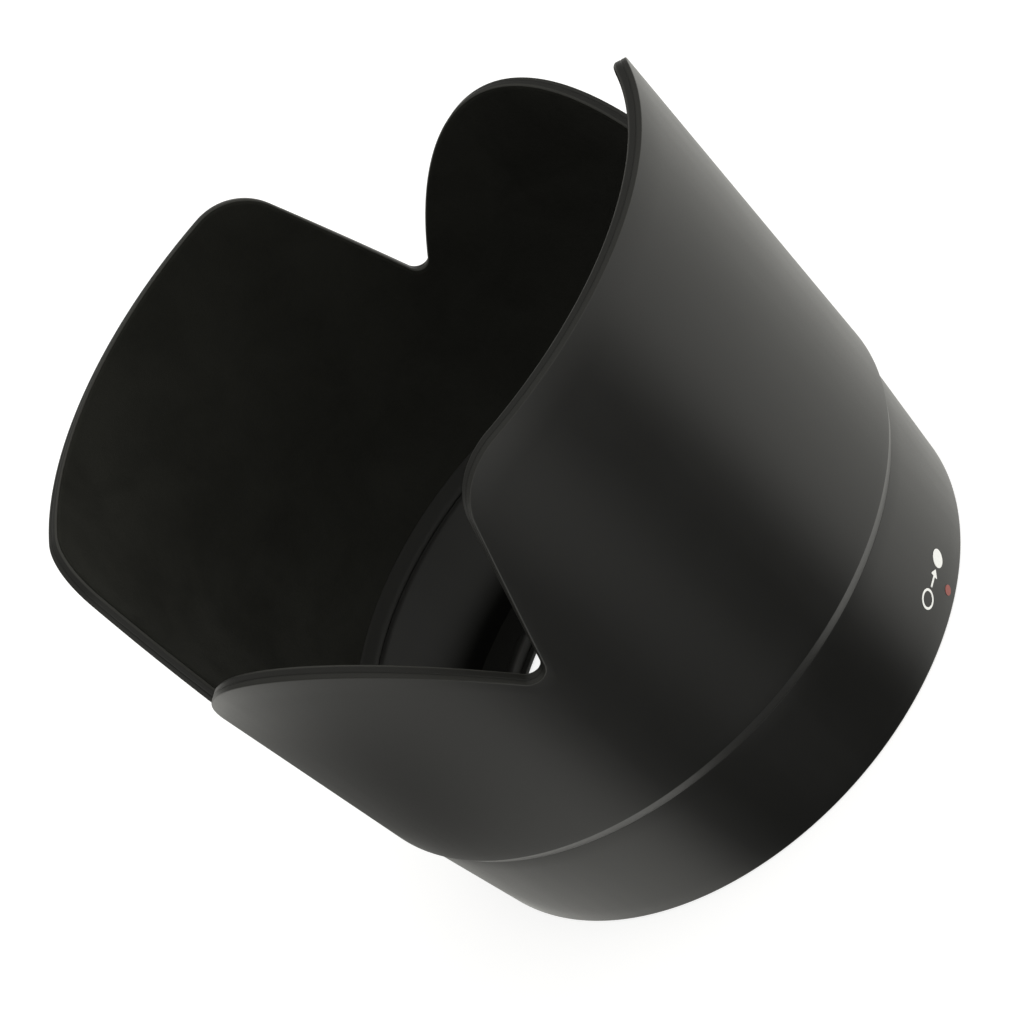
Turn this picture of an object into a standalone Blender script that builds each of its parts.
"""Petal lens hood with a bayonet mount, modelled standing on its rear ring.

Frame: metres, +Z up from the rear (lens side) to the petal tips. The origin
is the centre of the rear face. The index dot and the printed turn marks face
-Y, so the two long petals are at -Y and +Y and the two short ones at +X and -X.

Sizes are in millimetres and angles in degrees, counted round +Z from +X.
"""

import math

import bmesh
import bpy
from mathutils import Matrix, Vector

MM = 0.001

# Overall
LENGTH = 86.3            # rear face to the tips of the long petals
WALL = 2.3               # bell wall, lining included
RING_STEPS = 96          # segments round the sleeve and the bayonet ring

# Rear sleeve: a cone with a rebate at its front for the bell's spigot
SLEEVE_R_REAR = 47.5
SLEEVE_R_FRONT = 49.66
SLEEVE_TOP = 21.77
SLEEVE_EDGE = (47.56, 0.6)   # radius and height of the top of the rear chamfer
SLEEVE_CHAMFER = 0.5         # how far that chamfer cuts into the rear radius
SLEEVE_IN_REAR = 45.3
SLEEVE_IN_FRONT = 47.4
REBATE_R = 48.6
REBATE_Z = 20.6

# Bell: a cone from its chamfered rear edge to the petals
SPIGOT_GAP = 0.3         # between the bell and the sleeve, all along the joint
BELL_Z0 = SLEEVE_TOP + SPIGOT_GAP   # rear edge of the bell
BELL_R0 = 49.75
BELL_Z1 = 24.18          # top of the chamfer
BELL_R1 = 50.78
BELL_SLOPE = 0.0491      # radius gained per mm of height
SPIGOT_R = REBATE_R - SPIGOT_GAP
SPIGOT_Z = REBATE_Z + SPIGOT_GAP
THROAT_R = 47.5          # unlined inner lip of the bell
THROAT_Z = 22.55
RIM_EDGE = 0.15          # small edge break on the rim
WALL_ROWS = 2            # faces up each long wall of the bell and lining

# Petal outline, drawn on the cone unrolled at radius UNROLL_R
UNROLL_R = 53.0
CORNER_R = 10.0          # rounded shoulder of a long petal
FLANK_DEG = 45.0         # a point on the long petal's flank ...
FLANK_Z = 79.2           # ... and its height
FLANK_SLOPE = 2.946      # fall of the flank per mm round the cone
CROWN_Z = 75.2           # top of a short petal
CROWN_CURVE = 0.02314    # its fall per mm^2 from the crown
NOTCH_R = 2.2            # fillet at the bottom of each notch
NOTCH_HALVINGS = 60      # bisection rounds that place the fillet
STEPS = {"flat": 7, "corner": 6, "flank": 4, "notch": 5, "crown": 12}

# Flock lining, in a shallow recess inside the bell
LINING_T = 0.3
LINING_GAP = 0.25        # behind the lining
LINING_MARGIN = 0.3      # from the lining's edges to the ends of the recess
LINING_EDGE = 0.4        # plain rim left round the recess
LINING_Z = 24.1

# Ring screws: pan heads facing the rear, shanks up into the sleeve's bosses
SCREW_DEG = (0.0, 120.0, 240.0)
SCREW_R = 42.0           # from the hood's axis to each screw's
SCREW_STEPS = 20
HEAD_R = 1.7
HEAD_Z = (0.3, 0.8)
HEAD_CHAMFER = 0.2
SHANK_R = 0.85
SCREW_END = 8.0
TIP_R = 0.4
TIP_LENGTH = 0.8
SCREW_CLEARANCE = 0.3    # round the head and round the shank
CROSS_LENGTH = 2.1
CROSS_WIDTH = 0.45
CROSS_BARS = ((20, 0.60), (110, 0.64))   # turn and height of each recess bar

# Round shapes on the screw axes
BOSS = {"radius": 2.2, "z": (2.3, 9.5)}
PILOT_HOLE = {"radius": SHANK_R + SCREW_CLEARANCE, "z": (1.0, 8.6), "segments": 16}
PAD = {"radius": 2.6, "z": (0.6, 2.0), "segments": 28}
COUNTERBORE = {"radius": HEAD_R + SCREW_CLEARANCE, "z": (-0.5, 1.1)}
SCREW_HOLE = {"radius": SHANK_R + SCREW_CLEARANCE, "z": (-0.6, 2.6), "segments": 16}

# Boxes: spans along the tangent, outward from the hood's axis, and in height
WEB = {"tangent": (-0.8, 0.8), "radial": (SCREW_R + 1.4, 47.0), "z": (2.6, 9.2)}
POST = {"tangent": (8.2, 12.4), "radial": (37.3, 41.6), "z": (0.7, 3.0)}
LEAF_SLOT = {"tangent": (7.8, 11.3), "radial": (38.1, 39.1), "z": (1.35, 3.4)}
HOOK_SLOT = {"tangent": (10.25, 11.35), "radial": (38.6, 40.7), "z": (1.4, 3.5)}
NUB_WINDOW = {"tangent": (-2.2, 2.2), "radial": (35.0, 38.0), "z": (1.3, 3.6)}

# Bayonet ring: a flat flange with a collar round its bore
RING_OUT = 44.9
RING_Z = 0.2             # set in from the rear face
FLANGE_Z = 1.2
COLLAR_IN = 35.9
COLLAR_OUT = 37.5
COLLAR_Z = 3.1

# Lugs on the collar, with a stop at one end of each. Sweep is the span of
# angles about the lug's middle.
LUG_DEG = (90.0, 210.0, 330.0)
LUG_HALF = 17.0
LUG_IN = 34.8
LUG = {"radial": (LUG_IN, 36.8), "z": (0.3, 1.0), "sweep": (-LUG_HALF, LUG_HALF), "steps": 10}
STOP = {"radial": (LUG_IN + 0.12, 36.7), "z": (0.8, 2.8),
        "sweep": (-LUG_HALF + 0.5, -LUG_HALF + 2.9), "steps": 1}

# Click springs, in two of the gaps between lugs
SPRING_DEG = (30.0, 150.0)
PIVOT_T = 10.8           # along the leaf from the nub to its held end
PIVOT_R = 38.6
SPRING_Z = 2.3           # middle of the leaf
SPRING_HALF_WIDTH = 0.65

# Spring outline: distance along the tangent, distance outward
SPRING_OUTLINE = (
    (11.0, 40.4), (10.6, 40.4), (10.6, 38.8), (-1.5, 38.8),                  # hook, leaf
    (-1.5, 38.4), (-1.35, 37.6), (-0.55, 35.6), (-0.3, 35.35),               # nub
    (0.3, 35.35), (0.55, 35.6), (1.35, 37.6), (1.5, 38.4),
    (11.0, 38.4),
)

# Index dot and printed turn marks on the sleeve
MARK_GAP = 0.06
MARK_T = 0.15
DOT_DEG = -88.3
DOT_Z = 2.35
DOT_R = 0.9
DOT_STEPS = 24
MARK_DEG = -89.3
MARK_Z = 6.5
DISC_R = 1.5             # locked disc, and outside of the open ring
OPEN_RING_IN = 1.05
DISC_STEPS = 28
OPEN_RING_AT = -3.4      # round the sleeve from MARK_DEG
DISC_AT = 3.45

# Arrow outline: distance round the sleeve, height above MARK_Z
ARROW = ((-1.4, 0.25), (-1.4, -0.25), (0.3, -0.25), (0.3, -1.0), (1.6, 0.0), (0.3, 1.0),
         (0.3, 0.25))


# ---------------------------------------------------------------- scene

def clear_scene():
    for obj in list(bpy.data.objects):
        bpy.data.objects.remove(obj, do_unlink=True)


def collection(name, hidden=False):
    made = bpy.data.collections.new(name)
    bpy.context.scene.collection.children.link(made)
    made.hide_render = hidden
    return made


def material(name, color, roughness, metallic=0.0):
    made = bpy.data.materials.new(name)
    made.use_nodes = True
    shader = made.node_tree.nodes["Principled BSDF"]
    shader.inputs["Base Color"].default_value = (*color, 1.0)
    shader.inputs["Roughness"].default_value = roughness
    shader.inputs["Metallic"].default_value = metallic
    made.diffuse_color = (*color, 1.0)
    return made


def place(obj, where, mat=None):
    where.objects.link(obj)
    if mat:
        obj.data.materials.append(mat)
    return obj


# ---------------------------------------------------------------- building

def finish_mesh(name, bm, where, mat=None, smooth=35):
    """Turns a bmesh into an object, smooth below the given angle (0: all flat)."""
    bmesh.ops.recalc_face_normals(bm, faces=bm.faces)
    mesh = bpy.data.meshes.new(name)
    bm.to_mesh(mesh)
    bm.free()
    if smooth:
        mesh.shade_smooth()
        mesh.set_sharp_from_angle(angle=math.radians(smooth))
    return place(bpy.data.objects.new(name, mesh), where, mat)


def turned(name, profile, where, mat, steps, closed=True):
    """A (radius, height) profile turned round Z. One that isn't closed starts
    and ends on the axis."""
    mesh = bpy.data.meshes.new(name)
    points = [(radius * MM, 0.0, z * MM) for radius, z in profile]
    edges = [(i, i + 1) for i in range(len(points) - 1)]
    if closed:
        edges.append((len(points) - 1, 0))
    mesh.from_pydata(points, edges, [])
    obj = place(bpy.data.objects.new(name, mesh), where, mat)
    turn = obj.modifiers.new("turn", "SCREW")
    turn.axis = "Z"
    turn.angle = 2 * math.pi
    turn.steps = turn.render_steps = steps
    turn.use_merge_vertices = True
    turn.merge_threshold = 1e-5
    turn.use_smooth_shade = False
    return obj


def boolean(obj, other, operation):
    made = obj.modifiers.new(other.name, "BOOLEAN")
    made.operation = operation
    made.solver = "EXACT"
    made.object = other
    return made


def polar(radius, degrees, z):
    """A point in metres from a radius and height in mm."""
    angle = math.radians(degrees)
    return Vector((radius * math.cos(angle), radius * math.sin(angle), z)) * MM


def turned_by(degrees):
    return Matrix.Rotation(math.radians(degrees), 4, "Z")


def add_round(bm, degrees, radius, z, segments=24):
    """A cylinder on the screw axis at one angle."""
    bmesh.ops.create_cone(
        bm, cap_ends=True, segments=segments, radius1=radius * MM, radius2=radius * MM,
        depth=(z[1] - z[0]) * MM,
        matrix=Matrix.Translation(polar(SCREW_R, degrees, sum(z) / 2)),
    )


def add_box(bm, degrees, tangent, radial, z):
    """A box in the frame of one angle."""
    spans = (radial, tangent, z)
    size = Matrix.Diagonal((*((high - low) * MM for low, high in spans), 1))
    middle = Matrix.Translation(Vector([sum(span) / 2 for span in spans]) * MM)
    bmesh.ops.create_cube(bm, size=1.0, matrix=turned_by(degrees) @ middle @ size)


def bridge(bm, first, second):
    """Joins two closed loops of vertices with a band of quads."""
    for i in range(len(first)):
        j = (i + 1) % len(first)
        bm.faces.new((first[i], first[j], second[j], second[i]))


def add_arc(bm, degrees, radial, z, sweep, steps):
    """A block bent round Z, swept about one angle."""
    corners = ((radial[1], z[1]), (radial[1], z[0]), (radial[0], z[0]), (radial[0], z[1]))
    rings = []
    for i in range(steps + 1):
        angle = degrees + sweep[0] + (sweep[1] - sweep[0]) * i / steps
        rings.append([bm.verts.new(polar(radius, angle, height)) for radius, height in corners])
    for first, second in zip(rings, rings[1:]):
        bridge(bm, first, second)
    bm.faces.new(rings[0][::-1])
    bm.faces.new(rings[-1])


def as_helper(name, bm, where):
    """A hidden object for a boolean to use."""
    obj = finish_mesh(name, bm, where, smooth=0)
    obj.hide_render = True
    obj.display_type = "WIRE"
    return obj


def helper(name, where, *groups):
    """A boolean helper from groups of (add function, angles, sizes)."""
    bm = bmesh.new()
    for add, angles, sizes in groups:
        for angle in angles:
            add(bm, angle, **sizes)
    return as_helper(name, bm, where)


# ---------------------------------------------------------------- petals
# Outline points are (along, z): distance round the unrolled cone from a long
# petal's centre line, and height.

def moved(point, direction, distance):
    return point[0] + distance * direction[0], point[1] + distance * direction[1]


def crown(along):
    """Point and outward normal of a short petal's curve."""
    from_crown = math.pi / 2 * UNROLL_R - along
    slope = 2 * CROWN_CURVE * from_crown
    size = math.hypot(slope, 1.0)
    return (along, CROWN_Z - CROWN_CURVE * from_crown ** 2), (-slope / size, 1.0 / size)


def notch_fillet(flank_point, flank_normal, crown_end):
    """The fillet that touches the flank and the short petal's curve: its
    centre, where it meets the curve, and the curve's normal there."""
    low, high = flank_point[0], crown_end
    for _ in range(NOTCH_HALVINGS):
        touch = (low + high) / 2
        point, normal = crown(touch)
        centre = moved(point, normal, NOTCH_R)
        from_flank = ((centre[0] - flank_point[0]) * flank_normal[0]
                      + (centre[1] - flank_point[1]) * flank_normal[1])
        if from_flank > NOTCH_R:
            high = touch
        else:
            low = touch
    return centre, touch, normal


def quarter_outline():
    """Points and outward normals of the rim from a long petal's centre line
    to a short petal's centre line."""
    size = math.hypot(FLANK_SLOPE, 1.0)
    flank_normal = (FLANK_SLOPE / size, 1.0 / size)
    flank_point = (math.radians(FLANK_DEG) * UNROLL_R, FLANK_Z)
    crown_end = math.pi / 2 * UNROLL_R
    notch_centre, touch, crown_normal = notch_fillet(flank_point, flank_normal, crown_end)

    # The shoulder is tangent to the flat top and to the flank.
    corner_angle = math.atan(FLANK_SLOPE)
    sharp_corner = flank_point[0] - (LENGTH - FLANK_Z) / FLANK_SLOPE
    flat_end = sharp_corner - CORNER_R * math.tan(corner_angle / 2)
    corner_centre = (flat_end, LENGTH - CORNER_R)

    outline = []
    for i in range(STEPS["flat"]):
        outline.append(((flat_end * i / STEPS["flat"], LENGTH), (0.0, 1.0)))
    for i in range(STEPS["corner"]):
        angle = corner_angle * i / STEPS["corner"]
        normal = (math.sin(angle), math.cos(angle))
        outline.append((moved(corner_centre, normal, CORNER_R), normal))
    start = moved(corner_centre, flank_normal, CORNER_R)
    end = moved(notch_centre, flank_normal, -NOTCH_R)
    for i in range(STEPS["flank"]):
        part = i / STEPS["flank"]
        point = (start[0] + (end[0] - start[0]) * part, start[1] + (end[1] - start[1]) * part)
        outline.append((point, flank_normal))
    first = math.atan2(-flank_normal[1], -flank_normal[0])
    last = math.atan2(-crown_normal[1], -crown_normal[0])
    for i in range(STEPS["notch"]):
        angle = first + (last - first) * i / STEPS["notch"]
        normal = (-math.cos(angle), -math.sin(angle))
        outline.append((moved(notch_centre, normal, -NOTCH_R), normal))
    for i in range(STEPS["crown"] + 1):
        outline.append(crown(touch + (crown_end - touch) * i / STEPS["crown"]))
    return outline


def columns():
    """The whole rim, going round +Z: (angle of the long petal, direction from
    it, point, normal) per column."""
    quarter = quarter_outline()
    last = len(quarter) - 1
    order = [(-90.0, 1, i) for i in range(last + 1)]
    order += [(90.0, -1, i) for i in range(last - 1, -1, -1)]
    order += [(90.0, 1, i) for i in range(1, last + 1)]
    order += [(270.0, -1, i) for i in range(last - 1, 0, -1)]
    return [(petal, sign, *quarter[i]) for petal, sign, i in order]


def at_offset(column, inward):
    """Angle and height of the rim, moved inward by a distance on the cone."""
    petal, sign, point, normal = column
    along, z = moved(point, normal, -inward)
    return petal + sign * math.degrees(along / UNROLL_R), z


def on_bell(place_on_cone, depth):
    """(angle, radius, height) at a depth below the bell's outer cone."""
    angle, z = place_on_cone
    return angle, BELL_R1 + BELL_SLOPE * (z - BELL_Z1) - depth, z


def wall_points(top, bottom, depth):
    """Points down a wall from top (angle, height) to bottom, at one depth."""
    found = []
    for i in range(WALL_ROWS + 1):
        part = i / WALL_ROWS
        angle = top[0] + (bottom[0] - top[0]) * part
        z = top[1] + (bottom[1] - top[1]) * part
        found.append(on_bell((angle, z), depth))
    return found


def wavy_loft(name, sections, where, mat):
    """Joins one closed section per column into a ring. The section's height
    changes round the hood, so no turned profile makes this shape."""
    bm = bmesh.new()
    rings = [[bm.verts.new(polar(radius, angle, z)) for angle, radius, z in section]
             for section in sections]
    for first, second in zip(rings, rings[1:] + rings[:1]):
        bridge(bm, first, second)
    finish_mesh(name, bm, where, mat)


def bell_section(column):
    """Down the outside, round the spigot, and up the inside to the rim."""
    rim = at_offset(column, 0.0)
    edge = at_offset(column, RIM_EDGE)
    recess_top = at_offset(column, LINING_EDGE)
    angle = rim[0]
    ledge = (angle, LINING_Z - LINING_MARGIN)
    return [
        *wall_points(edge, (angle, BELL_Z1), 0.0),
        (angle, BELL_R0, BELL_Z0),
        (angle, SPIGOT_R, BELL_Z0),
        (angle, SPIGOT_R, SPIGOT_Z),
        (angle, THROAT_R, SPIGOT_Z),
        (angle, THROAT_R, THROAT_Z),
        on_bell(ledge, WALL),
        *wall_points(recess_top, ledge, WALL - LINING_T - LINING_GAP)[::-1],
        on_bell(recess_top, WALL),
        on_bell(edge, WALL),
        on_bell(rim, WALL - RIM_EDGE),
        on_bell(rim, RIM_EDGE),
    ]


def petal_bell(where, mat):
    wavy_loft("petal_bell", [bell_section(column) for column in columns()], where, mat)


def flock_lining(where, mat):
    sections = []
    for column in columns():
        top = at_offset(column, LINING_EDGE + LINING_MARGIN)
        foot = (at_offset(column, 0.0)[0], LINING_Z)
        sections.append(wall_points(top, foot, WALL - LINING_T)
                        + wall_points(top, foot, WALL)[::-1])
    wavy_loft("flock_lining", sections, where, mat)


# ---------------------------------------------------------------- sleeve

def mount_sleeve(where, cutters, mat):
    sleeve = turned("mount_sleeve", [
        (SLEEVE_R_FRONT, SLEEVE_TOP), SLEEVE_EDGE, (SLEEVE_R_REAR - SLEEVE_CHAMFER, 0.0),
        (SLEEVE_IN_REAR, 0.0), (SLEEVE_IN_FRONT, REBATE_Z), (REBATE_R, REBATE_Z),
        (REBATE_R, SLEEVE_TOP),
    ], where, mat, RING_STEPS)
    bosses = helper("sleeve_bosses", cutters, (add_round, SCREW_DEG, BOSS))
    webs = helper("sleeve_webs", cutters, (add_box, SCREW_DEG, WEB))
    pilots = helper("sleeve_pilot_holes", cutters, (add_round, SCREW_DEG, PILOT_HOLE))
    boolean(bosses, webs, "UNION")
    boolean(sleeve, bosses, "UNION")
    boolean(sleeve, pilots, "DIFFERENCE")


# ---------------------------------------------------------------- bayonet ring

def bayonet_ring(where, cutters, mat):
    ring = turned("bayonet_ring", [
        (RING_OUT, FLANGE_Z), (RING_OUT, RING_Z), (COLLAR_IN, RING_Z), (COLLAR_IN, COLLAR_Z),
        (COLLAR_OUT, COLLAR_Z), (COLLAR_OUT, FLANGE_Z),
    ], where, mat, RING_STEPS)

    pads = (add_round, SCREW_DEG, PAD)
    posts = (add_box, SPRING_DEG, POST)
    added = (
        ("ring_pads_and_posts", (pads, posts)),
        ("ring_lugs", ((add_arc, LUG_DEG, LUG),)),
        ("ring_stops", ((add_arc, LUG_DEG, STOP),)),
    )
    cut = (
        ("ring_counterbores", ((add_round, SCREW_DEG, COUNTERBORE),)),
        ("ring_screw_holes", ((add_round, SCREW_DEG, SCREW_HOLE),)),
        ("post_leaf_slots", ((add_box, SPRING_DEG, LEAF_SLOT),)),
        ("post_hook_slots", ((add_box, SPRING_DEG, HOOK_SLOT),)),
        ("collar_nub_windows", ((add_box, SPRING_DEG, NUB_WINDOW),)),
    )
    for operation, features in (("UNION", added), ("DIFFERENCE", cut)):
        for name, groups in features:
            boolean(ring, helper(name, cutters, *groups), operation)


def ring_screw(name, degrees, where, cutters, mat):
    """Pan-head screw driven from the rear, with a cross recess."""
    face, underside = HEAD_Z
    screw = turned(name, [
        (0.0, SCREW_END), (TIP_R, SCREW_END), (SHANK_R, SCREW_END - TIP_LENGTH),
        (SHANK_R, underside), (HEAD_R, underside), (HEAD_R, face + HEAD_CHAMFER),
        (HEAD_R - HEAD_CHAMFER, face), (0.0, face),
    ], where, mat, SCREW_STEPS, closed=False)
    screw.location = polar(SCREW_R, degrees, 0)
    bm = bmesh.new()
    centre = Matrix.Translation(polar(SCREW_R, degrees, face))
    for turn, height in CROSS_BARS:
        size = Matrix.Diagonal((CROSS_LENGTH * MM, CROSS_WIDTH * MM, height * MM, 1))
        bmesh.ops.create_cube(bm, size=1.0, matrix=centre @ turned_by(degrees + turn) @ size)
    recess = as_helper(name + "_recess", bm, cutters)
    # The two bars cross inside one helper mesh.
    boolean(screw, recess, "DIFFERENCE").use_self = True


def click_spring(name, degrees, where, mat):
    """A flat spring on edge: its hooked end sits in the post on the ring, and
    the nub at its free end reaches through the collar. The object's origin is
    on the axis that the leaf bends about."""
    curve = bpy.data.curves.new(name, "CURVE")
    curve.dimensions = "2D"
    curve.fill_mode = "BOTH"
    curve.extrude = SPRING_HALF_WIDTH * MM
    spline = curve.splines.new("POLY")
    spline.points.add(len(SPRING_OUTLINE) - 1)
    for point, (tangent, radial) in zip(spline.points, SPRING_OUTLINE):
        # Local X runs outward and local Y along the tangent.
        point.co = ((radial - PIVOT_R) * MM, (tangent - PIVOT_T) * MM, 0.0, 1.0)
    spline.use_cyclic_u = True
    leaf = place(bpy.data.objects.new(name, curve), where, mat)
    leaf.location = turned_by(degrees) @ Vector((PIVOT_R * MM, PIVOT_T * MM, SPRING_Z * MM))
    leaf.rotation_euler = (0.0, 0.0, math.radians(degrees))


# ---------------------------------------------------------------- marks

def on_sleeve(degrees, along, z, lift):
    """A point lifted off the sleeve, a distance round it from one angle."""
    radius = SLEEVE_R_REAR + (SLEEVE_R_FRONT - SLEEVE_R_REAR) * z / SLEEVE_TOP
    return polar(radius + lift, degrees + math.degrees(along / SLEEVE_R_REAR), z)


def mark(name, degrees, height, loops, where, mat):
    """A thin printed shape that follows the sleeve. One loop makes a filled
    shape, and two loops with the same number of points make an open ring."""
    bm = bmesh.new()
    outer, inner = [
        [[bm.verts.new(on_sleeve(degrees, along, height + z, lift)) for along, z in loop]
         for loop in loops]
        for lift in (MARK_GAP + MARK_T, MARK_GAP)
    ]
    for outer_loop, inner_loop in zip(outer, inner):
        bridge(bm, outer_loop, inner_loop)
    for layer in (outer, inner):
        if len(layer) == 1:
            bm.faces.new(layer[0])
        else:
            bridge(bm, *layer)
    finish_mesh(name, bm, where, mat, smooth=0)


def circle(radius, steps, centre=0.0):
    return [(centre + radius * math.cos(2 * math.pi * i / steps),
             radius * math.sin(2 * math.pi * i / steps)) for i in range(steps)]


def sleeve_marks(where, red, white):
    mark("index_dot", DOT_DEG, DOT_Z, [circle(DOT_R, DOT_STEPS)], where, red)
    open_ring = [circle(radius, DISC_STEPS, OPEN_RING_AT) for radius in (DISC_R, OPEN_RING_IN)]
    disc = circle(DISC_R, DISC_STEPS, DISC_AT)
    for name, loops in (("open_ring_mark", open_ring), ("turn_arrow_mark", [ARROW]),
                        ("locked_disc_mark", [disc])):
        mark(name, MARK_DEG, MARK_Z, loops, where, white)


def main():
    clear_scene()
    parts = collection("lens_hood")
    cutters = collection("cutters", hidden=True)

    satin = material("satin_plastic", color=(0.030, 0.030, 0.029), roughness=0.42)
    plain = material("plain_plastic", color=(0.026, 0.026, 0.024), roughness=0.55)
    flock = material("black_flock", color=(0.010, 0.010, 0.009), roughness=1.0)
    steel = material("spring_steel", color=(0.50, 0.49, 0.47), roughness=0.30, metallic=1.0)
    black_steel = material("black_screw", color=(0.040, 0.040, 0.042), roughness=0.35,
                           metallic=1.0)
    red = material("red_paint", color=(0.42, 0.09, 0.06), roughness=0.45)
    white = material("white_print", color=(0.78, 0.78, 0.76), roughness=0.50)

    petal_bell(parts, satin)
    flock_lining(parts, flock)
    mount_sleeve(parts, cutters, satin)
    bayonet_ring(parts, cutters, plain)
    for i, degrees in enumerate(SCREW_DEG, 1):
        ring_screw(f"ring_screw_{i}", degrees, parts, cutters, black_steel)
    for i, degrees in enumerate(SPRING_DEG, 1):
        click_spring(f"click_spring_{i}", degrees, parts, steel)
    sleeve_marks(parts, red, white)


main()
